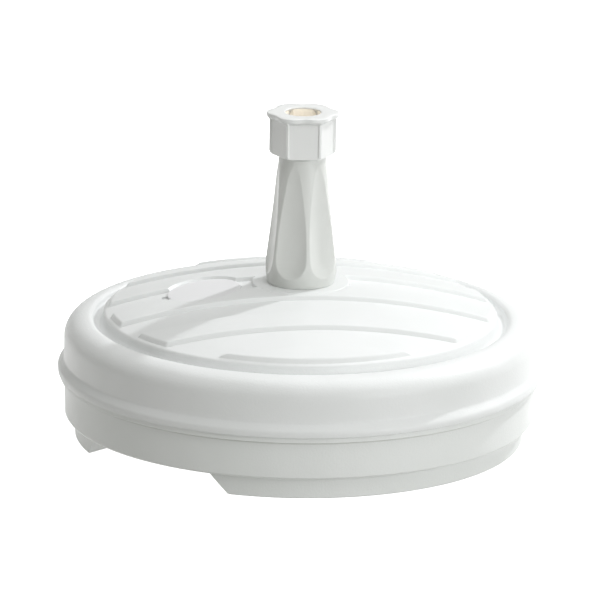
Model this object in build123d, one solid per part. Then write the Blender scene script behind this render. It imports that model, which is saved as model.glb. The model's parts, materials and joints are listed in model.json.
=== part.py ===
"""Water-filled parasol base: round two-shell tank, fluted column, hexagonal clamp nut and filler cap.

Millimetres, +Z up, origin at the centre of the base on the ground. The ribs on top run along X.
"""
import math
import os

from build123d import *

# Overall sizes
TANK_R = 243.5            # outside of the tank wall
BEAD_R = 250.0            # rolled edge of the upper shell, over the joint of the two shells
BEAD_INNER_R = 246.95
BEAD_TOP_Z = 82.0
JOINT_Z = 68.0            # lower edge of the upper shell
WALL = 3.5                # moulded wall of the two shells

# Lower shell
FOOT_R_BOTTOM = 231.6
FOOT_R_TOP = 232.6
FOOT_INNER_R = 204.0
STEP_Z = 22.9             # height of the foot ring
STEP_R = 240.6
LIP_R = 247.6             # rim of the lower shell that shows below the bead
LIP_BOTTOM_Z = 62.6
SPIGOT_TOP_Z = 73.4       # top of the lower shell's wall, inside the upper shell
GRIP_ANGLES = (-138.4, 41.6)
GRIP_HALF_BOTTOM = 99.3   # half length of a grip opening on the ground
GRIP_HALF_TOP = 79.0
WELL_R = 31.2             # socket that takes the column
WELL_WALL = 3.5
WELL_TOP_Z = 118.0
WEB_COUNT = 6

# Upper shell
SHOULDER_Z = 104.0
CREST_R = 217.5
CREST_Z = 125.6
DOME_TOP_Z = 160.9
DOME_R = 690.0
DOME_CENTRE_Z = DOME_TOP_Z - DOME_R
DOME_EDGE_R = 201.4
RIB_PITCH = 75.0
RIB_WIDTH = 39.0
RIB_HEIGHT = 4.0
RIB_SLOPE = 3.4           # width of the sloping sides of a rib
RIB_CIRCLE_R = 198.5
END_RIB_Y = 171.0         # straight edge of the first and last ribs
BOSS_R = 50.5
BOSS_TOP_Z = 163.1
COLLAR_R = 31.6
COLLAR_BOTTOM_Z = 121.0

# Filler opening and cap, along the normal of the dome
FILLER_X = -100.0
SEAT_R = 38.7
SEAT_FLOOR = -3.4
SEAT_CONE_Z = 0.2         # the countersink starts here and opens at 45 degrees
NICK_X = -40.6            # finger nick beside the cap
NICK_R = 4.6
NECK_R = 29.6
NECK_WALL = 3.2
CAP_R = 38.2
CAP_TOP = 0.9
CAP_BOTTOM = -3.1
PLUG_R = 28.0
PLUG_DEPTH = -20.0
SEAL_CORD_R = 1.3

# Column
NECK_PROFILE = (          # outside of the neck: radius, height
    (34.6, 164.0), (35.4, 168.0), (36.7, 177.0), (37.1, 188.0), (35.0, 206.5),
    (32.6, 226.0), (29.7, 248.0), (26.9, 274.0), (24.9, 289.0), (24.5, 297.2),
)
FLUTE_COUNT = 6
FLUTE_AXIS_R = 85.0       # axis of the barrel that hollows a flute
FLUTE_FLOOR = (           # floor of a flute: radius, height
    (37.6, 172.0), (34.9, 175.6), (32.3, 182.4), (30.3, 192.0), (28.5, 208.0),
    (26.9, 232.0), (25.9, 258.0), (25.4, 275.0), (24.9, 289.0), (25.6, 297.0),
)
RIDGE_ANGLE = -83.7
THREAD_R = 24.0
COLUMN_TOP_Z = 328.8
COLUMN_BORE_R = 20.95
SPIGOT_R = 31.0
SPIGOT_BOTTOM_Z = 92.0

# Clamp nut and collet
NUT_BOTTOM_Z = 298.6
NUT_TOP_Z = 343.0
FLANGE_BOTTOM_Z = 335.5
FLANGE_WAVE = (           # rim of the flange: angle from a corner, radius
    (0, 37.3), (9, 36.9), (20, 35.4), (30, 34.4), (40, 35.4), (51, 36.9),
)
NUT_CORNER_R = 33.0
CORNER_BAR_R = 34.3
CORNER_BAR_WIDTH = 2.8
NUT_CORNER_ANGLE = -63.4
NUT_BORE_R = 24.35
NUT_HOLE_R = 18.35
COLLET_R = 17.8           # bore that grips the pole
COLLET_BOTTOM_Z = 302.0
COLLET_TOP_Z = 341.2
JAW_ANGLE = -95.4
SLOT_WIDTH = 7.1

ON_ITS_FOOT = (Align.CENTER, Align.CENTER, Align.MIN)


def section(edges):
    """Face in the XZ plane inside a closed run of edges drawn as (radius, height)."""
    return make_face([piece for edge in edges for piece in (Plane.XZ * edge).edges()])


def turned(*edges):
    """Solid of revolution about Z from edges drawn as (radius, height)."""
    return revolve(section(edges), Axis.Z)


def turned_outline(points):
    return revolve(make_face(Plane.XZ * Polyline(*points, close=True)), Axis.Z)


def ball(radius):
    """Ball on the centre of curvature of the dome."""
    return Pos(0, 0, DOME_CENTRE_Z) * Sphere(radius)


def dome_z(radius_from_axis, sphere_r=DOME_R):
    return DOME_CENTRE_Z + math.sqrt(sphere_r ** 2 - radius_from_axis ** 2)


def cylinder(radius, bottom, top):
    return Pos(0, 0, bottom) * Cylinder(radius, top - bottom, align=ON_ITS_FOOT)


def cone(bottom_r, top_r, bottom, top):
    return Pos(0, 0, bottom) * Cone(bottom_r, top_r, top - bottom, align=ON_ITS_FOOT)


def tube(outer_r, inner_r, bottom, top):
    return cylinder(outer_r, bottom, top) - cylinder(inner_r, bottom - 1, top + 1)


def grip_opening(extra=0.0):
    """Trapezoid prism through the foot ring, larger all round by extra."""
    low = GRIP_HALF_BOTTOM + extra + 1.0
    high = GRIP_HALF_TOP + extra
    top = STEP_Z + extra
    outline = Plane.YZ * Polyline((-low, -1), (low, -1), (high, top), (-high, top), close=True)
    prism = extrude(make_face(outline), 80)
    if prism.center().X < 0:
        prism = mirror(prism, Plane.YZ)
    return Pos(175, 0, 0) * prism


def lower_shell():
    """Floor, wall and hollow foot ring of the tank, with the socket for the column."""
    outside = turned_outline([
        (0, STEP_Z), (FOOT_INNER_R - 1.5, STEP_Z), (FOOT_INNER_R, 1.2), (FOOT_INNER_R + 1.2, 0),
        (FOOT_R_BOTTOM - 1.2, 0), (FOOT_R_BOTTOM, 1.2), (FOOT_R_TOP, STEP_Z),
        (STEP_R, STEP_Z), (242.3, STEP_Z + 2.2), (TANK_R - 0.1, LIP_BOTTOM_Z),
        (LIP_R - 0.5, LIP_BOTTOM_Z + 0.1), (LIP_R, LIP_BOTTOM_Z + 0.7),
        (LIP_R - 0.2, JOINT_Z - 0.7), (LIP_R - 0.7, JOINT_Z - 0.1),
        (TANK_R, JOINT_Z - 0.1), (TANK_R - 0.2, SPIGOT_TOP_Z), (0, SPIGOT_TOP_Z),
    ])
    inside = turned_outline([
        (0, STEP_Z + WALL), (238.0, STEP_Z + WALL), (TANK_R - WALL, LIP_BOTTOM_Z),
        (TANK_R - WALL, 80), (0, 80),
    ])
    channel = turned_outline([
        (FOOT_INNER_R + WALL, WALL), (FOOT_R_BOTTOM - WALL, WALL),
        (FOOT_R_TOP - WALL, STEP_Z + WALL + 1), (FOOT_INNER_R + WALL - 1.5, STEP_Z + WALL + 1),
    ])
    for angle in GRIP_ANGLES:
        outside -= Rot(0, 0, angle) * (grip_opening() & tube(236, 195, -1, STEP_Z))
        channel -= Rot(0, 0, angle) * grip_opening(extra=WALL)
    shell = outside - inside - channel
    well = cylinder(WELL_R + WELL_WALL, STEP_Z, WELL_TOP_Z)
    for n in range(WEB_COUNT):
        web = Plane.XZ * Polyline((33, STEP_Z + 2), (110, STEP_Z + 2), (110, 30), (33, 70), close=True)
        well += Rot(0, 0, 30 + n * 360 / WEB_COUNT) * extrude(make_face(web), 1.5, both=True)
    shell += well
    shell -= cylinder(WELL_R, STEP_Z + WALL, WELL_TOP_Z + 1)
    shell -= cylinder(4, STEP_Z - 1, STEP_Z + WALL + 1)
    return shell


def rib_strips(inset=0.0):
    """Six long boxes that cut the ribs out of a disc, narrower on each side by inset."""
    strips = []
    for n in range(6):
        y = (n - 2.5) * RIB_PITCH
        low, high = y - RIB_WIDTH / 2 + inset, y + RIB_WIDTH / 2 - inset
        if n == 0:
            low, high = low - 10, -END_RIB_Y - inset
        if n == 5:
            low, high = END_RIB_Y + inset, high + 10
        strips.append(Pos(0, (low + high) / 2, 150) * Box(420, high - low, 90))
    return strips


def raised_ribs():
    """Six straight low ribs with their ends on one circle; the first and last are segments of it."""
    disc = (ball(DOME_R + RIB_HEIGHT) & cylinder(RIB_CIRCLE_R, 110, 180)) - ball(DOME_R - 1.5)
    ribs = []
    for strip in rib_strips():
        rib = disc & strip
        top = rib.faces().sort_by(Axis.Z)[-1]
        ribs.append(chamfer(top.edges(), RIB_SLOPE))
    return ribs


def upper_shell_body():
    outer = [
        Line((BEAD_INNER_R, JOINT_Z), (248.5, JOINT_Z)),
        ThreePointArc((248.5, JOINT_Z), (BEAD_R, 72.2), (249.0, 75.4)),
        Line((249.0, 75.4), (TANK_R, BEAD_TOP_Z)),
        Line((TANK_R, BEAD_TOP_Z), (TANK_R, SHOULDER_Z)),
        EllipticalCenterArc((CREST_R, SHOULDER_Z), TANK_R - CREST_R, CREST_Z - SHOULDER_Z, arc_size=90),
        Spline((CREST_R, CREST_Z), (213.8, 123.6), (209.9, 119.4), (206.8, 118.2), (204.4, 122.0),
               (203.4, 128.6), tangents=[(-1, 0), (-0.1, 1)]),
        Line((203.4, 128.6), (DOME_EDGE_R, dome_z(DOME_EDGE_R))),
        ThreePointArc((DOME_EDGE_R, dome_z(DOME_EDGE_R)), (100, dome_z(100)), (0, DOME_TOP_Z)),
    ]
    thin = DOME_R - WALL
    inner = [
        Line((0, DOME_TOP_Z), (0, DOME_TOP_Z - WALL)),
        ThreePointArc((0, DOME_TOP_Z - WALL), (100, dome_z(100, thin)), (197, dome_z(197, thin))),
        Polyline((197, dome_z(197, thin)), (199.4, 126.8), (200.6, 121.0), (203.6, 115.4), (207.0, 114.5),
                 (211.4, 116.0), (214.6, 119.8), (CREST_R, CREST_Z - WALL)),
        EllipticalCenterArc((CREST_R, SHOULDER_Z), TANK_R - CREST_R - WALL, CREST_Z - SHOULDER_Z - WALL,
                            arc_size=90),
        Polyline((TANK_R - WALL, SHOULDER_Z), (TANK_R - WALL, SPIGOT_TOP_Z + 0.4),
                 (BEAD_INNER_R, SPIGOT_TOP_Z + 0.4), (BEAD_INNER_R, JOINT_Z)),
    ]
    return outer + inner


def upper_shell():
    """Bead, wall, shoulder, groove and ribbed dome, with the boss for the column and the cap's seat."""
    shell = turned(*upper_shell_body())
    for rib in raised_ribs():
        shell += rib
    boss = cylinder(BOSS_R, 153.0, BOSS_TOP_Z)
    boss = fillet(boss.edges().filter_by(GeomType.CIRCLE).sort_by(Axis.Z)[-1], 1.4)
    shell -= cylinder(BOSS_R, BOSS_TOP_Z, 180.0)
    shell += boss
    seat_plane = filler_plane()
    shell += seat_plane * cylinder(42.6, -9.5, -2.0)
    shell += seat_plane * tube(NECK_R + NECK_WALL, NECK_R - 1, -30.0, -5.5)
    shell += tube(COLLAR_R + 3.4, COLLAR_R - 1, COLLAR_BOTTOM_Z, 158.0)
    # the ribs are hollow from below
    hollow = ball(DOME_R + RIB_HEIGHT - WALL) & cylinder(RIB_CIRCLE_R - WALL, 100, 180)
    hollow -= ball(DOME_R - WALL - 0.5)
    hollow -= cylinder(BOSS_R + 3.5, 100, 200)
    hollow -= seat_plane * cylinder(46.5, -40, 40)
    for strip in rib_strips(inset=WALL):
        shell -= hollow & strip
    # seat of the cap: bore, countersink, finger nick, bore of the neck
    shell -= seat_plane * cylinder(SEAT_R, SEAT_FLOOR, SEAT_CONE_Z)
    shell -= seat_plane * cone(SEAT_R, SEAT_R + 12, SEAT_CONE_Z, SEAT_CONE_Z + 12)
    shell -= seat_plane * (Pos(NICK_X, 0, 0) * cylinder(NICK_R, SEAT_FLOOR, 12))
    shell -= seat_plane * cylinder(NECK_R, -40, 10)
    shell -= cylinder(COLLAR_R, 100, 200)
    return shell


def filler_plane():
    """Local frame of the filler: origin on the dome, Z along its normal, X towards the column."""
    z = dome_z(abs(FILLER_X))
    normal = Vector(FILLER_X, 0, z - DOME_CENTRE_Z).normalized()
    across = Vector(normal.Z, 0, -normal.X)
    return Plane(origin=(FILLER_X, 0, z), x_dir=across, z_dir=normal)


def filler_cap():
    """Flat push-in cap: disc with a bevelled edge and a hollow plug with a groove for its seal."""
    disc = cylinder(CAP_R, CAP_BOTTOM, CAP_TOP)
    disc = chamfer(disc.edges().filter_by(GeomType.CIRCLE).sort_by(Axis.Z)[-1], 0.9)
    plug = tube(PLUG_R, PLUG_R - 4.0, PLUG_DEPTH, CAP_BOTTOM)
    plug -= tube(PLUG_R + 1, PLUG_R - SEAL_CORD_R - 0.1, -13.5, -10.5)
    return filler_plane() * (disc + plug)


def filler_cap_seal():
    return filler_plane() * (Pos(0, 0, -12.0) * Torus(PLUG_R, SEAL_CORD_R))


def flute_cutter():
    """Upright barrel beside the column; its near side follows the floor of a flute."""
    low, high = FLUTE_FLOOR[0], FLUTE_FLOOR[-1]
    half = section([
        Spline(*FLUTE_FLOOR),
        Polyline(high, (FLUTE_AXIS_R, high[1]), (FLUTE_AXIS_R, low[1]), low),
    ])
    return revolve(half, Axis((FLUTE_AXIS_R, 0, 0), (0, 0, 1)))


def column():
    """Conical neck with six flutes, a spigot that goes into the tank and a threaded top."""
    edges = [
        Line((27.5, SPIGOT_BOTTOM_Z), (SPIGOT_R, SPIGOT_BOTTOM_Z)),
        Line((SPIGOT_R, SPIGOT_BOTTOM_Z), (SPIGOT_R, BOSS_TOP_Z + 0.1)),
        Line((SPIGOT_R, BOSS_TOP_Z + 0.1), (34.2, BOSS_TOP_Z + 0.1)),
        Line((34.2, BOSS_TOP_Z + 0.1), NECK_PROFILE[0]),
        Spline(*NECK_PROFILE),
        Polyline(NECK_PROFILE[-1], (THREAD_R, 297.8), (THREAD_R, COLUMN_TOP_Z - 0.7), (23.4, COLUMN_TOP_Z),
                 (22.55, COLUMN_TOP_Z), (COLUMN_BORE_R, 315.0), (COLUMN_BORE_R, 297.0), (21.6, 285.0),
                 (22.6, 272.0), (23.6, 250.0), (25.0, 225.0), (26.8, 203.0), (27.6, 193.0), (29.2, 184.0),
                 (29.2, 169.0), (27.5, 165.0), (27.5, SPIGOT_BOTTOM_Z)),
    ]
    body = turned(*edges)
    cutter = flute_cutter()
    for n in range(FLUTE_COUNT):
        body -= Rot(0, 0, RIDGE_ANGLE + 30 + n * 360 / FLUTE_COUNT) * cutter
    return body


def pole_centring_ring():
    """Insert at the foot of the socket: it keeps the end of the pole central."""
    bottom, top = STEP_Z + WALL + 0.1, 62.0
    ring = tube(30.9, 28.4, bottom, top) + tube(21.2, 18.2, bottom, top)
    ring += tube(30.9, 18.2, bottom, bottom + 2.5)
    for n in range(6):
        rib = Pos(24.9, 0, (bottom + top - 4) / 2) * Box(8.4, 2.2, top - bottom - 4)
        ring += Rot(0, 0, n * 60) * rib
    return ring


def well_seal():
    return tube(WELL_R + WELL_WALL - 0.1, WELL_R + 0.4, WELL_TOP_Z + 0.1, COLLAR_BOTTOM_Z - 0.1)


def seam_seal():
    return Pos(0, 0, JOINT_Z + 1.6) * Torus(245.27, 1.55)


def collet():
    """Slotted gripping sleeve: solid ring below, four jaws above, bevelled at the top."""
    body = turned_outline([
        (COLLET_R, COLLET_BOTTOM_Z), (20.2, COLLET_BOTTOM_Z), (20.45, 303.0), (20.45, 315.0),
        (22.13, 329.5), (22.8, 330.2), (22.8, 336.4), (18.45, COLLET_TOP_Z), (COLLET_R, COLLET_TOP_Z),
    ])
    for n in range(4):
        slot = Pos(20, 0, 330) * Box(14, SLOT_WIDTH, 40)
        body -= Rot(0, 0, JAW_ANGLE + 45 + n * 90) * slot
    return body


def wavy_outline():
    """Six-lobed outline of the nut's flange, lobes over the corners."""
    points = []
    for n in range(6):
        for turn, radius in FLANGE_WAVE:
            angle = math.radians(NUT_CORNER_ANGLE + n * 60 + turn)
            points.append((radius * math.cos(angle), radius * math.sin(angle)))
    return make_face(Spline(*points, periodic=True))


def clamp_nut():
    """Hexagonal hand nut with a raised bar on each corner and a wavy flange."""
    hexagon = RegularPolygon(NUT_CORNER_R, 6, rotation=NUT_CORNER_ANGLE)
    body_top = NUT_TOP_Z - 2
    body_middle = (NUT_BOTTOM_Z + body_top) / 2
    body = Pos(0, 0, NUT_BOTTOM_Z) * extrude(hexagon, body_top - NUT_BOTTOM_Z)
    for n in range(6):
        bar = Box(5.8, CORNER_BAR_WIDTH, body_top - NUT_BOTTOM_Z)
        bar = Pos(CORNER_BAR_R - 2.9, 0, body_middle) * bar
        bar = fillet(bar.edges().filter_by(Axis.Z).sort_by(Axis.X)[-2:], 0.9)
        body += Rot(0, 0, NUT_CORNER_ANGLE + n * 60) * bar
    body &= cone(31.4, 81.4, NUT_BOTTOM_Z, NUT_BOTTOM_Z + 50)
    flange = Pos(0, 0, FLANGE_BOTTOM_Z) * extrude(wavy_outline(), NUT_TOP_Z - FLANGE_BOTTOM_Z)
    flange &= cone(32.6, 42.1, FLANGE_BOTTOM_Z, FLANGE_BOTTOM_Z + 8.5)
    body += flange
    body -= turned_outline([
        (0, NUT_BOTTOM_Z - 1), (26.4, NUT_BOTTOM_Z - 1), (25.4, NUT_BOTTOM_Z + 1.4),
        (NUT_BORE_R, NUT_BOTTOM_Z + 2.6), (NUT_BORE_R, 331.4), (23.2, 331.6), (23.2, 336.8),
        (18.7, 341.7), (NUT_HOLE_R, 342.0),
        (NUT_HOLE_R, 342.6), (18.9, NUT_TOP_Z + 0.2), (18.9, NUT_TOP_Z + 2), (0, NUT_TOP_Z + 2),
    ])
    return body


PARTS = {
    "lower_shell": lower_shell,
    "upper_shell": upper_shell,
    "seam_seal": seam_seal,
    "well_seal": well_seal,
    "pole_centring_ring": pole_centring_ring,
    "column": column,
    "collet": collet,
    "clamp_nut": clamp_nut,
    "filler_cap": filler_cap,
    "filler_cap_seal": filler_cap_seal,
}

os.makedirs("parts", exist_ok=True)
for name, make in PARTS.items():
    shape = make()
    solids = shape.solids()
    box = shape.bounding_box()
    size = box.size
    print(f"{name:20s} solids {len(solids)} valid {shape.is_valid} volume {shape.volume / 1000:9.2f} cm3 "
          f"size {size.X:.1f} x {size.Y:.1f} x {size.Z:.1f} mm")
    export_step(solids[0] if len(solids) == 1 else shape, f"parts/{name}.step")
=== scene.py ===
"""Finished look of a water-filled parasol base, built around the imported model.

Metres, +Z up, ribs along X. Profiles are drawn in millimetres as (radius, height).
"""

import json
import math

import bpy
import numpy as np
from mathutils import Matrix, Vector


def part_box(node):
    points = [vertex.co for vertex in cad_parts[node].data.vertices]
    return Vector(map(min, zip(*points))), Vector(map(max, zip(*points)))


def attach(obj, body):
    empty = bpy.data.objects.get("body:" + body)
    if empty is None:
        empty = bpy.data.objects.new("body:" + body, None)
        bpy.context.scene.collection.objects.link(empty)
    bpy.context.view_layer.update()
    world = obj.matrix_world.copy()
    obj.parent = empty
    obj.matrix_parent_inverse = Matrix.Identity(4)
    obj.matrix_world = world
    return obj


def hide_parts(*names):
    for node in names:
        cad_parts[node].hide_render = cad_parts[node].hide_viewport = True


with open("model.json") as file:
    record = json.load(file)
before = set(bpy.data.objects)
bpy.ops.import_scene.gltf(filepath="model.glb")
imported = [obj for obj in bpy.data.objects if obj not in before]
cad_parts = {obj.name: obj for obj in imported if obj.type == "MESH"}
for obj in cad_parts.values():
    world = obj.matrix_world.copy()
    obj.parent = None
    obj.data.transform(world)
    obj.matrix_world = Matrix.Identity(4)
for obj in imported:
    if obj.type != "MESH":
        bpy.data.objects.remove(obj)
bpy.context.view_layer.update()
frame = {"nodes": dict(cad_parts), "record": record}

MM = 0.001

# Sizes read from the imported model, in millimetres
SHELL_LOW, SHELL_HIGH = (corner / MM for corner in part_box("upper_shell"))
COLUMN_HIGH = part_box("column")[1] / MM
NUT_LOW, NUT_HIGH = (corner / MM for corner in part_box("clamp_nut"))
JOINTS = {joint["name"]: joint for joint in frame["record"]["behaviour"]["joints"]}

# Upper shell
TANK_R = 243.5
WALL = 3.5
JOINT_Z = SHELL_LOW.z
RIM_ROOM_R = 246.95       # room under the bead for the rim of the lower shell
RIM_ROOM_Z = 73.8
BOSS_TOP_Z = SHELL_HIGH.z
BOSS_R = 50.5
COLLAR_R = 31.6           # hole for the column
SHOULDER_Z = 104.0
CREST_R = 217.5
CREST_Z = 125.6
DOME_R = 690.0
DOME_TOP_Z = 160.9
DOME_CENTRE_Z = DOME_TOP_Z - DOME_R
PANEL_R = 200.0
PANEL_EDGE = ((201.0, 130.93), (201.8, 130.55), (202.5, 129.8), (203.0, 128.8))
GROOVE = ((203.2, 128.0), (203.5, 125.6), (204.4, 121.4), (206.8, 118.2), (210.2, 118.3), (212.7, 120.6),
          (214.3, 123.8), (CREST_R, CREST_Z))
GROOVE_INSIDE = ((214.6, 119.8), (211.4, 116.0), (207.0, 114.5), (203.6, 115.4), (200.6, 121.0),
                 (199.4, 126.8))
# Rolled edge of the upper shell, from the wall down to the joint
BEAD = ((243.5, 83.6), (243.6, 82.5), (243.9, 81.7), (244.5, 80.8), (246.0, 79.0), (247.5, 77.2),
        (248.6, 75.9), (249.2, 75.0), (249.6, 74.1), (249.9, 73.0), (250.0, 72.0), (250.0, 70.6),
        (249.9, 69.4), (249.7, 68.6), (249.3, 68.1), (248.7, 68.0), (247.9, 68.0))
RIB_PITCH = 75.0
RIB_WIDTH = 39.0
RIB_HEIGHT = 4.0
RIB_CIRCLE_R = 198.5
END_RIB_Y = 171.0         # straight edge of the first and last ribs, which are segments of the circle
RIB_SLOPE = 3.0           # how far in from its outline a rib reaches its full height
# Rows of points along a rib's edge, by their distance inside it
RIB_ROWS = (-0.5, -0.05, 0.3, 0.7, 1.1, 1.5, 1.9, 2.3, 2.7, 3.05, 3.6)

# Filler: local frame on the dome, Z along the cap's slide
FILLER_X = -100.0
SEAT_R = 38.7
SEAT_FLOOR = -3.4
SEAT_CONE_Z = 0.2         # the countersink starts here and opens at 45 degrees
NICK_X = -40.6
NICK_R = 4.6
SEAT_RING_R = 42.6        # thick ring of the shell round the seat
SEAT_RING_BOTTOM = -9.5
NECK_R = 29.6
NECK_WALL = 3.2
NECK_BOTTOM = -30.0
CUTTER_TOP = 12.0         # the cutters of seat and nick end here, clear of the dome
CUTTER_BOTTOM = -40.0
CAP_R = 38.2
CAP_TOP = 0.9
CAP_BOTTOM = -3.1
PLUG_R = 28.0
PLUG_WALL = 4.0
PLUG_BOTTOM = -20.0
SEAL_GROOVE_R = 26.6
SEAL_GROOVE_TOP = -10.5
SEAL_GROOVE_BOTTOM = -13.5

# Column and nut
RIDGE_ANGLE = -83.7
NECK_PROFILE = ((34.6, 164.0), (35.4, 168.0), (36.7, 177.0), (37.1, 188.0), (35.0, 206.5), (32.6, 226.0),
                (29.7, 248.0), (26.9, 274.0), (24.9, 289.0), (24.5, 297.0))
FLUTE_AXIS_R = 85.0       # axis of the barrel that hollows a flute
FLUTE_FLOOR = (           # radius of a flute's floor, height
    (37.6, 172.0), (36.2, 173.5), (34.9, 175.6), (33.7, 178.4), (32.3, 182.4), (31.2, 186.6),
    (30.3, 192.0), (29.4, 200.0), (27.7, 220.0), (26.5, 240.0), (26.0, 255.0), (25.75, 265.0),
    (25.45, 275.0), (24.95, 285.0), (24.9, 291.0), (25.4, 296.0),
)
SPIGOT_R = 31.0
SPIGOT_BOTTOM_Z = 92.0
COLUMN_BORE = (           # inside of the column, from the thread down
    (20.95, 315.0), (20.95, 297.0), (21.6, 285.0), (22.6, 272.0), (23.6, 250.0), (25.0, 225.0),
    (26.8, 203.0), (27.6, 193.0), (29.2, 184.0), (29.2, 169.0), (27.5, 165.0),
)
THREAD_PITCH = 4.0
THREAD_ROOT_R = 23.2
THREAD_DEPTH = 0.8
NUT_CORNER_ANGLE = -63.4
NUT_CORNER_R = 33.0
CORNER_BAR_R = 34.3
CORNER_BAR_EDGE = 2.9     # degrees from the corner at which a bar starts
CORNER_BAR_SIDE = 0.8     # degrees over which it rises
FLANGE_MEAN_R = 35.7
FLANGE_WAVE = (2.05, -0.45)
NUT_BORE_R = 24.35
COLLET_ROOM_R = 23.2
NUT_HOLE_R = 18.4


def dome_z(r):
    return DOME_CENTRE_Z + np.sqrt(DOME_R ** 2 - np.asarray(r) ** 2)


def smooth_step(t):
    t = np.clip(t, 0.0, 1.0)
    return t * t * (3 - 2 * t)


def make_object(name, verts, faces, material, sharp=35.0, body="base"):
    """Mesh object from vertices in millimetres, smooth except at edges sharper than the angle."""
    mesh = bpy.data.meshes.new(name)
    mesh.from_pydata((np.asarray(verts) * MM).tolist(), [], faces)
    mesh.validate()
    mesh.update()
    mesh.shade_smooth()
    mesh.set_sharp_from_angle(angle=math.radians(sharp))
    obj = bpy.data.objects.new(name, mesh)
    bpy.context.scene.collection.objects.link(obj)
    mesh.materials.append(material)
    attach(obj, body)
    return obj


def rounded(corners, step=12.0):
    """Closed outline through corners (r, z, fillet radius), with the fillets drawn as arcs."""
    points = []
    count = len(corners)
    for i, (r, z, radius) in enumerate(corners):
        here = Vector((r, z))
        before = Vector(corners[i - 1][:2]) - here
        after = Vector(corners[(i + 1) % count][:2]) - here
        if radius <= 0 or before.length < 1e-6 or after.length < 1e-6:
            points.append((r, z))
            continue
        half = before.angle(after) / 2
        if half > math.radians(88):
            points.append((r, z))
            continue
        reach = min(radius / math.tan(half), 0.49 * before.length, 0.49 * after.length)
        radius = reach * math.tan(half)
        inwards = (before.normalized() + after.normalized()).normalized()
        centre = here + inwards * (radius / math.sin(half))
        start = here + before.normalized() * reach - centre
        end = here + after.normalized() * reach - centre
        turn = math.atan2(start.x * end.y - start.y * end.x, start.dot(end))
        steps = max(2, int(abs(math.degrees(turn)) / step))
        for k in range(steps + 1):
            a = turn * k / steps
            points.append((centre.x + start.x * math.cos(a) - start.y * math.sin(a),
                           centre.y + start.x * math.sin(a) + start.y * math.cos(a)))
    return points


def turned(outline, segments=192):
    """Vertices and faces of a closed outline (r, z) turned about Z."""
    verts, rings = [], []
    for r, z in outline:
        if r < 1e-4:
            rings.append([len(verts)] * segments)
            verts.append((0.0, 0.0, z))
            continue
        rings.append(list(range(len(verts), len(verts) + segments)))
        for k in range(segments):
            a = 2 * math.pi * k / segments
            verts.append((r * math.cos(a), r * math.sin(a), z))
    return np.array(verts), bridge(rings)


def bridge(rings, closed=True):
    """Faces between neighbouring rings of vertex numbers; repeated numbers are poles."""
    faces = []
    count = len(rings)
    for i in range(count if closed else count - 1):
        a, b = rings[i], rings[(i + 1) % count]
        for k in range(len(a)):
            n = (k + 1) % len(a)
            face = []
            for v in (a[k], a[n], b[n], b[k]):
                if v not in face:
                    face.append(v)
            if len(face) > 2:
                faces.append(face)
    return faces


def wavy_skin(rows, angles):
    """Closed skin through rows (radius, height) round Z; a radius is one number or one for each angle."""
    radii = np.array([np.broadcast_to(r, angles.shape) for r, _ in rows], float)
    heights = np.broadcast_to(np.array([[z] for _, z in rows], float), radii.shape)
    verts = np.stack([radii * np.cos(angles), radii * np.sin(angles), heights], -1).reshape(-1, 3)
    count = len(angles)
    rings = [list(range(i * count, (i + 1) * count)) for i in range(len(rows))]
    return verts, bridge(rings)


def through(points, steps=5):
    """Smooth run through the points (Catmull-Rom)."""
    p = [np.array(q, float) for q in points]
    p = [2 * p[0] - p[1]] + p + [2 * p[-1] - p[-2]]
    run = []
    for i in range(1, len(p) - 2):
        for k in range(steps):
            t = k / steps
            run.append(0.5 * (2 * p[i] + (p[i + 1] - p[i - 1]) * t
                              + (2 * p[i - 1] - 5 * p[i] + 4 * p[i + 1] - p[i + 2]) * t ** 2
                              + (3 * p[i] - p[i - 1] - 3 * p[i + 1] + p[i + 2]) * t ** 3))
    run.append(p[-2])
    return [tuple(q) for q in run]


def rib_rise(t):
    """Side of a rib: steep at its foot, rounded over at the top."""
    return 1 - (1 - np.clip(t, 0.0, 1.0)) ** 1.5


def rib_height(x, y):
    """Height of the straight ribs above the dome; their ends lie on one circle."""
    middle = (np.floor(y / RIB_PITCH) + 0.5) * RIB_PITCH
    inside = RIB_WIDTH / 2 - np.abs(y - middle)
    across = np.where(np.abs(y) > 2 * RIB_PITCH, np.abs(y) - END_RIB_Y, inside)
    along = RIB_CIRCLE_R - np.hypot(x, y)
    return RIB_HEIGHT * rib_rise(across / RIB_SLOPE) * rib_rise(along / RIB_SLOPE)


def panel_angles():
    """Angles round the right half of the panel: even steps, and rows that follow each rib's edges."""
    values = set(np.round(np.linspace(-90, 90, 121), 4))
    for n in range(6):
        centre = (n - 2.5) * RIB_PITCH
        for side in (-1, 1):
            for inside in RIB_ROWS:
                y = centre + side * (RIB_WIDTH / 2 - inside)
                if abs(centre) > 2 * RIB_PITCH:
                    y = math.copysign(END_RIB_Y + inside, centre)
                if abs(y) < PANEL_R - 0.2:
                    values.add(round(math.degrees(math.asin(y / PANEL_R)), 4))
    kept = []
    for value in sorted(values):
        if not kept or value - kept[-1] > 0.05:
            kept.append(value)
    kept[0], kept[-1] = -90.0, 90.0
    return np.radians(kept)


def shoulder(inset, degrees):
    """Points of the rounded shoulder, or of its inside."""
    across = TANK_R - CREST_R - inset
    up = CREST_Z - SHOULDER_Z - inset
    return [(CREST_R + across * math.cos(a), SHOULDER_Z + up * math.sin(a)) for a in np.radians(degrees)]


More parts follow.
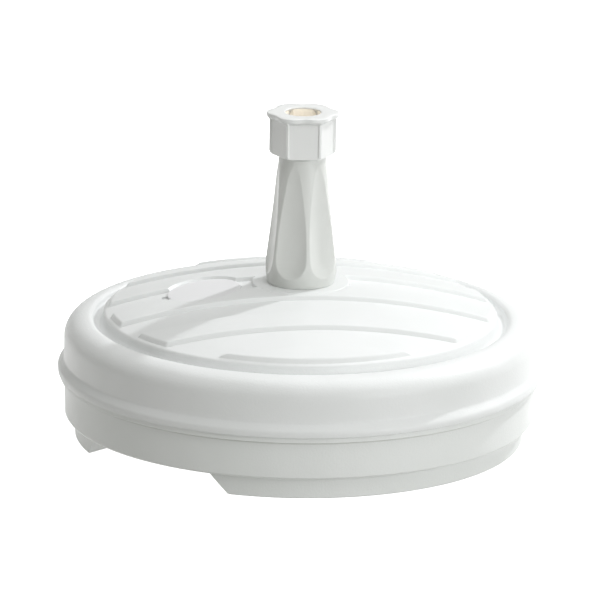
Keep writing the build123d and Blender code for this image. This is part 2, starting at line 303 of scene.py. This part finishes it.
def upper_shell_outline():
    """Outside from the panel's edge down to the joint, then the inside back up under the dome."""
    outer = [(PANEL_R, float(dome_z(PANEL_R))), *PANEL_EDGE, *through(GROOVE, 5)[:-1]]
    outer += shoulder(0.0, np.linspace(90, 0, 16))
    outer += [(TANK_R, 96.0), (TANK_R, 88.0), *BEAD]
    inner = [(RIM_ROOM_R, JOINT_Z), (RIM_ROOM_R, RIM_ROOM_Z), (TANK_R - WALL, RIM_ROOM_Z),
             (TANK_R - WALL, SHOULDER_Z)]
    inner += shoulder(WALL, np.linspace(15, 90, 6))
    inner += GROOVE_INSIDE
    inner += [(r, float(dome_z(r)) - WALL) for r in (196, 170, 140, 110, 80, 50, 20)]
    return outer + inner


def upper_shell_skin(columns=150):
    """Closed skin of the upper shell: ribbed panel, groove, shoulder, wall, bead and the inside."""
    right = panel_angles()
    left = np.pi - right[1:-1][::-1]
    angles = np.concatenate([right, left])
    rings, verts = [], []
    for r, z in upper_shell_outline():
        rings.append(list(range(len(verts), len(verts) + len(angles))))
        verts += [(r * math.cos(a), r * math.sin(a), z) for a in angles]
    faces = bridge(rings, closed=False)
    faces.append(rings[-1][::-1])
    # panel rows run from the left edge to the right edge of the first ring
    spread = np.sin(np.linspace(-np.pi / 2, np.pi / 2, columns + 1))
    rows = []
    for j in range(1, len(right) - 1):
        y = PANEL_R * math.sin(right[j])
        x = PANEL_R * math.cos(right[j]) * spread[1:-1]
        z = dome_z(np.hypot(x, y)) + rib_height(x, y)
        # the ribs end below the top of the boss, which is a ring of its own
        z = np.where(np.hypot(x, y) < BOSS_R - 0.5, np.minimum(z, BOSS_TOP_Z - 0.8), z)
        first = len(verts)
        verts += [(px, y, pz) for px, pz in zip(x, z)]
        left_edge = rings[0][len(angles) - j]
        rows.append([left_edge] + list(range(first, first + len(x))) + [rings[0][j]])
    for low, high in zip(rows[:-1], rows[1:]):
        for k in range(columns):
            faces.append((low[k], low[k + 1], high[k + 1], high[k]))
    bottom, top = rings[0][0], rings[0][len(right) - 1]
    for k in range(columns):
        faces.append((bottom, rows[0][k + 1], rows[0][k]))
        faces.append((top, rows[-1][k], rows[-1][k + 1]))
    return np.array(verts), faces


def filler_matrix():
    """Local frame of the filler: origin on the dome, Z along the cap's slide, X towards the column."""
    normal = Vector(JOINTS["filler_cap_lift"]["axis"]).normalized()
    across = Vector((normal.z, 0, -normal.x))
    side = normal.cross(across)
    place = Matrix((across, side, normal)).transposed().to_4x4()
    place.translation = Vector((FILLER_X, 0, float(dome_z(abs(FILLER_X)))))
    return place


def moved(verts, place):
    return np.asarray(verts) @ np.array(place.to_3x3()).T + np.array(place.translation)


def cut(obj, verts, faces):
    """Takes a closed skin away from the object."""
    mesh = bpy.data.meshes.new("cutter")
    mesh.from_pydata((np.asarray(verts) * MM).tolist(), [], faces)
    mesh.update()
    cutter = bpy.data.objects.new("cutter", mesh)
    bpy.context.scene.collection.objects.link(cutter)
    modifier = obj.modifiers.new("cut", "BOOLEAN")
    modifier.operation = "DIFFERENCE"
    modifier.solver = "EXACT"
    modifier.object = cutter
    bpy.context.view_layer.update()
    result = bpy.data.meshes.new_from_object(obj.evaluated_get(bpy.context.evaluated_depsgraph_get()))
    obj.modifiers.clear()
    old = obj.data
    obj.data = result
    bpy.data.objects.remove(cutter)
    bpy.data.meshes.remove(old)


# ---------------------------------------------------------------- materials

PLASTIC_IOR = 1.49
SWELL_TO_GRAIN = 3.0        # depth of the swell as a multiple of the grain's
# colour of the painted shade in the crease under the lip
CREASE_SHADE_COLOUR = (0.44, 0.44, 0.40, 1)


def feed(tree, socket, value):
    """Sets a socket to a value, or links it to another node's output."""
    if isinstance(value, bpy.types.NodeSocket):
        tree.links.new(value, socket)
    else:
        socket.default_value = value


def node(tree, kind, **inputs):
    """New shader node. An underscore in a keyword stands for the blank in the input's name."""
    made = tree.nodes.new(kind)
    for key, value in inputs.items():
        feed(tree, made.inputs[key.replace("_", " ")], value)
    return made


def calc(tree, operation, *values):
    """Result of a math node."""
    made = tree.nodes.new("ShaderNodeMath")
    made.operation = operation
    for socket, value in zip(made.inputs, values):
        feed(tree, socket, value)
    return made.outputs["Value"]


def noise(tree, place, scale, detail, roughness=0.5):
    made = node(tree, "ShaderNodeTexNoise", Vector=place, Scale=scale, Detail=detail, Roughness=roughness)
    return made.outputs["Fac"]


def drifting_colour(tree, place, light, dark):
    """Colour that wanders slowly between two shades."""
    ramp = node(tree, "ShaderNodeValToRGB", Fac=noise(tree, place, 9.0, 5.0, 0.55))
    for element, position, colour in zip(ramp.color_ramp.elements, (0.3, 0.7), (dark, light)):
        element.position = position
        element.color = (*colour, 1)
    return ramp.outputs["Color"]


def painted_crease_shade(tree, height, colour, low, high):
    """Painted shade: darkens the colour in a narrow band of heights, in a crease where shade falls."""
    band = node(tree, "ShaderNodeMapRange", Value=height, From_Min=low * MM, From_Max=high * MM)
    below = calc(tree, "LESS_THAN", height, (high + 0.02) * MM)
    amount = calc(tree, "MULTIPLY", band.outputs["Result"], below)
    shaded_colour = node(tree, "ShaderNodeMixRGB", Fac=amount, Color1=colour, Color2=CREASE_SHADE_COLOUR)
    return shaded_colour.outputs["Color"]


def surface_grain(tree, place, height, scale, streaks_above):
    """Fine grain of the mould; above a height it is drawn out into streaks along X."""
    fine = noise(tree, place, scale, 3.0, 0.6)
    if streaks_above is None:
        return fine
    stretched = node(tree, "ShaderNodeMapping", Vector=place, Scale=(0.04, 1.0, 1.0))
    streaks = noise(tree, stretched.outputs["Vector"], scale, 3.0, 0.6)
    above = calc(tree, "GREATER_THAN", height, streaks_above * MM)
    return node(tree, "ShaderNodeMix", Factor=above, A=fine, B=streaks).outputs["Result"]


def plastic(name, light, dark, roughness, grain_scale, grain_depth, streaks_above=None, crease_shade=None):
    """Moulded plastic: colour drift, uneven gloss, a grain with a slight swell and, if a band is given,
    painted shade in a crease; depth in millimetres.
    """
    material = bpy.data.materials.new(name)
    material.use_nodes = True
    tree = material.node_tree
    place = tree.nodes.new("ShaderNodeTexCoord").outputs["Object"]
    height = node(tree, "ShaderNodeSeparateXYZ", Vector=place).outputs["Z"]
    colour = drifting_colour(tree, place, light, dark)
    # painted shade in a crease, where a band of heights is given
    if crease_shade is not None:
        colour = painted_crease_shade(tree, height, colour, *crease_shade)
    gloss = node(tree, "ShaderNodeMapRange", Value=noise(tree, place, 38.0, 6.0, 0.6),
                 To_Min=roughness - 0.06, To_Max=roughness + 0.09)
    grain = surface_grain(tree, place, height, grain_scale, streaks_above)
    swell = noise(tree, place, 26.0, 1.0)
    relief = calc(tree, "MULTIPLY_ADD", swell, SWELL_TO_GRAIN, grain)
    bump = node(tree, "ShaderNodeBump", Strength=1.0, Distance=grain_depth * MM, Height=relief)
    shader = tree.nodes["Principled BSDF"]
    feed(tree, shader.inputs["IOR"], PLASTIC_IOR)
    feed(tree, shader.inputs["Base Color"], colour)
    feed(tree, shader.inputs["Roughness"], gloss.outputs["Result"])
    feed(tree, shader.inputs["Normal"], bump.outputs["Normal"])
    return material


def make_glow(material, colour, strength):
    shader = material.node_tree.nodes["Principled BSDF"]
    shader.inputs["Emission Color"].default_value = (*colour, 1)
    shader.inputs["Emission Strength"].default_value = strength


# the band from 60 to 62.5 mm is painted shade in the crease under the lip
SIDE_WHITE = plastic("side_white", (0.83, 0.845, 0.835), (0.80, 0.82, 0.805), 0.42, 480.0, 0.24,
                     crease_shade=(60.0, 62.5))
TOP_WHITE = plastic("top_white", (0.83, 0.84, 0.84), (0.80, 0.815, 0.81), 0.41, 480.0, 0.26, CREST_Z + 1)
NUT_WHITE = plastic("nut_white", (0.835, 0.84, 0.835), (0.805, 0.815, 0.805), 0.33, 1100.0, 0.015)
NECK_WHITE = plastic("neck_white", (0.71, 0.72, 0.70), (0.675, 0.69, 0.665), 0.36, 900.0, 0.03)
CAP_WHITE = plastic("cap_white", (0.84, 0.84, 0.85), (0.82, 0.82, 0.83), 0.38, 900.0, 0.02)
INSERT_WHITE = plastic("insert_white", (0.78, 0.78, 0.75), (0.74, 0.74, 0.71), 0.45, 800.0, 0.03)
CREAM = plastic("cream", (0.91, 0.86, 0.77), (0.89, 0.82, 0.70), 0.42, 900.0, 0.02)
# painted light: the collet glows, standing in for the light that its thin jaws let through
make_glow(CREAM, (1.0, 0.95, 0.86), 0.18)     # light that the thin jaws let through
RUBBER = plastic("rubber", (0.035, 0.035, 0.035), (0.02, 0.02, 0.02), 0.6, 1300.0, 0.03)


# ---------------------------------------------------------------- pieces

def cut_filler_seat(shell):
    """Takes the seat, its countersink, the bore of the neck and the finger nick out of the shell."""
    seat = turned([(0, CUTTER_BOTTOM), (NECK_R, CUTTER_BOTTOM), (NECK_R, SEAT_FLOOR), (SEAT_R, SEAT_FLOOR),
                   (SEAT_R, SEAT_CONE_Z), (SEAT_R + CUTTER_TOP, SEAT_CONE_Z + CUTTER_TOP),
                   (0, SEAT_CONE_Z + CUTTER_TOP)], 144)
    cut(shell, moved(seat[0], filler_matrix()), seat[1])
    nick = turned([(0, SEAT_FLOOR), (NICK_R, SEAT_FLOOR), (NICK_R, CUTTER_TOP), (0, CUTTER_TOP)], 40)
    cut(shell, moved(nick[0] + np.array((NICK_X, 0, 0)), filler_matrix()), nick[1])


def upper_shell():
    """Skin with its cuts, the raised boss round the column and the neck below the filler cap."""
    verts, faces = upper_shell_skin()
    shell = make_object("upper_shell_skin", verts, faces, TOP_WHITE, 40.0)
    cut_filler_seat(shell)
    cut(shell, *turned([(0, 100), (COLLAR_R, 100), (COLLAR_R, 200), (0, 200)], 96))
    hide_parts("upper_shell")
    boss = turned(rounded([(COLLAR_R, 153, 0), (BOSS_R, 153, 0), (BOSS_R, BOSS_TOP_Z, 1.4),
                           (COLLAR_R, BOSS_TOP_Z, 0.4)]))
    boss = make_object("upper_shell_boss", *boss, TOP_WHITE)
    neck_outer_r = NECK_R + NECK_WALL
    ring_inner_r = SEAT_R + 0.05
    ring_top = SEAT_FLOOR - 0.8
    neck = turned(rounded([(NECK_R, SEAT_FLOOR, 0.6), (NECK_R, NECK_BOTTOM, 0.5),
                           (neck_outer_r, NECK_BOTTOM, 0.5), (neck_outer_r, SEAT_RING_BOTTOM, 2),
                           (SEAT_RING_R, SEAT_RING_BOTTOM, 1), (SEAT_RING_R, ring_top, 0),
                           (ring_inner_r, ring_top, 0), (ring_inner_r, SEAT_FLOOR, 0)]), 144)
    neck = make_object("filler_neck", moved(neck[0], filler_matrix()), neck[1], TOP_WHITE)


def flute_radius(turn, z):
    """Distance from the axis to the barrel that hollows a flute, at an angle from the flute's middle."""
    floor_radii, floor_heights = zip(*FLUTE_FLOOR)
    barrel = FLUTE_AXIS_R - np.interp(z, floor_heights, floor_radii)
    return FLUTE_AXIS_R * np.cos(turn) - np.sqrt(barrel ** 2 - (FLUTE_AXIS_R * np.sin(turn)) ** 2)


def soft_min(a, b, blend):
    """The smaller of two radii, with a rounded ridge where they meet."""
    h = np.clip(0.5 + 0.5 * (b - a) / blend, 0, 1)
    return b + (a - b) * h - blend * h * (1 - h)


def column():
    """Fluted neck with its thread above and its spigot below."""
    profile = np.array(through(NECK_PROFILE, 8))
    heights = np.concatenate([np.arange(164.0, 200.0, 0.8), np.arange(200.0, 297.0, 1.6), [297.0]])
    angles = np.linspace(0, 2 * np.pi, 360, endpoint=False)
    turn = (np.degrees(angles) - (RIDGE_ANGLE + 30)) % 60
    turn = np.radians(np.where(turn > 30, turn - 60, turn))
    bore_bottom_r = COLUMN_BORE[-1][0]
    rows = [(bore_bottom_r, SPIGOT_BOTTOM_Z), (SPIGOT_R - 0.6, SPIGOT_BOTTOM_Z),
            (SPIGOT_R, SPIGOT_BOTTOM_Z + 0.8), (SPIGOT_R, BOSS_TOP_Z + 0.1),
            (34.2, BOSS_TOP_Z + 0.1), (34.4, BOSS_TOP_Z + 0.4)]
    for z in heights:
        outside = np.interp(z, profile[:, 1], profile[:, 0])
        rows.append((soft_min(outside, flute_radius(turn, z), 0.3), z))
    rows.append((24.1, 297.5))
    top = COLUMN_HIGH.z
    for z in np.arange(298.2, top - 1.0, 0.4):
        phase = (z / THREAD_PITCH - angles / (2 * np.pi)) % 1.0
        ridge = smooth_step(1 - np.abs(phase - 0.5) / 0.32)
        rows.append((THREAD_ROOT_R + THREAD_DEPTH * ridge, z))
    rows += [(THREAD_ROOT_R, top - 0.5), (22.9, top), (22.6, top), *COLUMN_BORE]
    verts, faces = wavy_skin(rows, angles)
    neck = make_object("column_skin", verts, faces, NECK_WHITE, 50.0)
    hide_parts("column")


def nut_angles():
    """Offsets from each corner of the nut, finer at its bar."""
    half = [0, 1.0, 1.8, 2.3, 2.7, 3.0, 3.3, 3.8, 4.8, 6.5, 9, 12, 15, 18, 21, 24, 27]
    offsets = [-o for o in half[1:]][::-1] + half + [30]
    return np.array(sorted((k * 60 + o) for k in range(6) for o in offsets))


def clamp_nut():
    """Hexagonal hand nut: a rounded bar on each corner and a wavy flange."""
    offset = nut_angles()
    angles = np.radians(offset + NUT_CORNER_ANGLE)
    from_corner = np.abs((offset + 30) % 60 - 30)
    apothem = NUT_CORNER_R * math.cos(math.radians(30))
    flat = apothem / np.cos(np.radians(30 - from_corner))
    bar = smooth_step((CORNER_BAR_EDGE - from_corner) / CORNER_BAR_SIDE)
    body = np.maximum(flat, flat + (CORNER_BAR_R - flat) * bar)
    wave = np.radians(from_corner * 6)
    flange = FLANGE_MEAN_R + FLANGE_WAVE[0] * np.cos(wave) + FLANGE_WAVE[1] * np.cos(2 * wave)
    under = np.maximum(flange - body, 0.4)
    edge = body + under
    bottom, top = NUT_LOW.z, NUT_HIGH.z
    # rounded lower rim and the flats
    rows = [(25.6, bottom + 1.0), (26.2, bottom), (np.minimum(body, 31.2) - 0.5, bottom),
            (np.minimum(body, 31.6) - 0.1, bottom + 0.25)]
    rows += [(np.minimum(body, limit), bottom + up) for limit, up in
             ((32.2, 0.8), (33.2, 1.8), (33.8, 2.6))]
    rows += [(body, z) for z in np.linspace(bottom + 4, 334.5, 9)]
    # flange, from its underside to the top face
    rows += [(body + under * share, z) for share, z in
             ((0.04, 335.4), (0.2, 336.2), (0.5, 337.2), (0.78, 338.0), (0.95, 338.8), (1.0, 339.6))]
    rows += [(edge - inset, top - down) for inset, down in
             ((0.0, 1.1), (0.12, 0.6), (0.45, 0.2), (1.0, 0.0))]
    rows.append((edge * 0.6 + 19.9 * 0.4, top))
    # hole, room of the collet and thread bore
    rows += [(20.2, top), (19.3, top - 0.05), (18.7, top - 0.3), (NUT_HOLE_R, top - 0.8),
             (NUT_HOLE_R, top - 1.1), (18.7, 341.6), (COLLET_ROOM_R, 336.8), (COLLET_ROOM_R, 331.6),
             (NUT_BORE_R, 331.4), (NUT_BORE_R, 315.0), (NUT_BORE_R, bottom + 2.6)]
    verts, faces = wavy_skin(rows, angles)
    nut = make_object("clamp_nut_skin", verts, faces, NUT_WHITE, 38.0, body="clamp_nut")
    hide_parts("clamp_nut")


def filler_cap():
    """Flat cap with a bevelled edge, its plug and the groove for the seal."""
    inner_r = PLUG_R - PLUG_WALL
    outline = rounded([(0, CAP_TOP, 0), (CAP_R, CAP_TOP, 1.2), (CAP_R, CAP_BOTTOM, 0.5),
                       (PLUG_R, CAP_BOTTOM, 0.3), (PLUG_R, SEAL_GROOVE_TOP, 0.2),
                       (SEAL_GROOVE_R, SEAL_GROOVE_TOP, 0), (SEAL_GROOVE_R, SEAL_GROOVE_BOTTOM, 0),
                       (PLUG_R, SEAL_GROOVE_BOTTOM, 0.2), (PLUG_R, PLUG_BOTTOM, 1.2),
                       (inner_r, PLUG_BOTTOM, 0.6), (inner_r, CAP_BOTTOM, 1.0), (0, CAP_BOTTOM, 0)])
    verts, faces = turned(outline, 144)
    verts = moved(verts, filler_matrix())
    cap = make_object("filler_cap_skin", verts, faces, CAP_WHITE, 35.0, body="filler_cap")
    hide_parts("filler_cap")


def paint_cad_nodes():
    """The CAD nodes that stay on show get the detailed materials."""
    looks = {
        "lower_shell": SIDE_WHITE, "seam_seal": RUBBER, "well_seal": RUBBER, "filler_cap_seal": RUBBER,
        "pole_centring_ring": INSERT_WHITE, "collet": CREAM,
    }
    for name, material in looks.items():
        obj = frame["nodes"][name]
        for material_slot in obj.material_slots:
            material_slot.material = material


# ---------------------------------------------------------------- stage

VIEW_AZIMUTH = -5.4
VIEW_ELEVATION = 15.65
VIEW_ROLL = 0.8
VIEW_DISTANCE = 7.5
VIEW_WIDTH = 618.5567 * MM  # width of the view at the axis of the column
AIM = Vector((-0.5 * MM, 0, 142.7 * MM))


def floor():
    size = 30.0
    mesh = bpy.data.meshes.new("floor")
    corners = [(-size, -size, 0), (size, -size, 0), (size, size, 0), (-size, size, 0)]
    mesh.from_pydata(corners, [], [(0, 1, 2, 3)])
    material = bpy.data.materials.new("floor_white")
    material.use_nodes = True
    shader = material.node_tree.nodes["Principled BSDF"]
    shader.inputs["Base Color"].default_value = (0.95, 0.95, 0.95, 1)
    shader.inputs["Roughness"].default_value = 0.9
    shader.inputs["Specular IOR Level"].default_value = 0.1
    make_glow(material, (1, 1, 1), 1.0)
    mesh.materials.append(material)
    obj = bpy.data.objects.new("floor", mesh)
    bpy.context.scene.collection.objects.link(obj)
    obj.visible_diffuse = False     # the white floor gives the part no light from below


def area_light(name, bearing, elevation, distance, size, power, colour):
    """Area light that faces the part. Bearing in degrees from the camera's right, towards the back."""
    right = math.radians(VIEW_AZIMUTH)
    a = math.radians(bearing) + right
    e = math.radians(elevation)
    direction = Vector((math.cos(a) * math.cos(e), math.sin(a) * math.cos(e), math.sin(e)))
    data = bpy.data.lights.new(name, "AREA")
    data.shape = "DISK"
    data.size = size
    data.energy = power
    data.color = colour
    obj = bpy.data.objects.new(name, data)
    obj.location = direction * distance + Vector((0, 0, 0.15))
    obj.rotation_mode = "QUATERNION"
    obj.rotation_quaternion = direction.to_track_quat("Z", "Y")
    bpy.context.scene.collection.objects.link(obj)


def lights():
    world = bpy.data.worlds.new("studio")
    bpy.context.scene.world = world
    world.use_nodes = True
    background = world.node_tree.nodes["Background"]
    background.inputs["Color"].default_value = (1.0, 1.0, 0.95, 1)
    background.inputs["Strength"].default_value = 0.33
    area_light("key", bearing=38.0, elevation=38.0, distance=3.2, size=0.17, power=56.0,
               colour=(0.975, 0.98, 1.0))
    area_light("overhead", bearing=90.0, elevation=78.0, distance=2.4, size=2.2, power=21.0,
               colour=(0.98, 0.99, 1.0))
    area_light("front_top", bearing=-72.0, elevation=55.0, distance=3.0, size=2.0, power=16.0,
               colour=(0.98, 0.985, 1.0))
    area_light("right_fill", bearing=-45.0, elevation=12.0, distance=3.2, size=1.6, power=36.0,
               colour=(0.98, 1.0, 1.0))


def camera():
    data = bpy.data.cameras.new("camera")
    data.sensor_width = 36.0
    data.lens = VIEW_DISTANCE / VIEW_WIDTH * data.sensor_width
    data.clip_end = 100.0
    obj = bpy.data.objects.new("camera", data)
    a, e = math.radians(VIEW_AZIMUTH), math.radians(VIEW_ELEVATION)
    back = Vector((math.sin(a) * math.cos(e), -math.cos(a) * math.cos(e), math.sin(e)))
    aim = Matrix.Rotation(a, 3, "Z") @ AIM
    obj.location = aim + back * VIEW_DISTANCE
    obj.rotation_mode = "QUATERNION"
    level = (-back).to_track_quat("-Z", "Y")
    roll = Matrix.Rotation(math.radians(VIEW_ROLL), 3, "Z").to_quaternion()
    obj.rotation_quaternion = level @ roll
    bpy.context.scene.collection.objects.link(obj)
    bpy.context.scene.camera = obj


upper_shell()
column()
clamp_nut()
filler_cap()
paint_cad_nodes()
floor()
lights()
camera()
bpy.context.scene.view_settings.view_transform = "Standard"
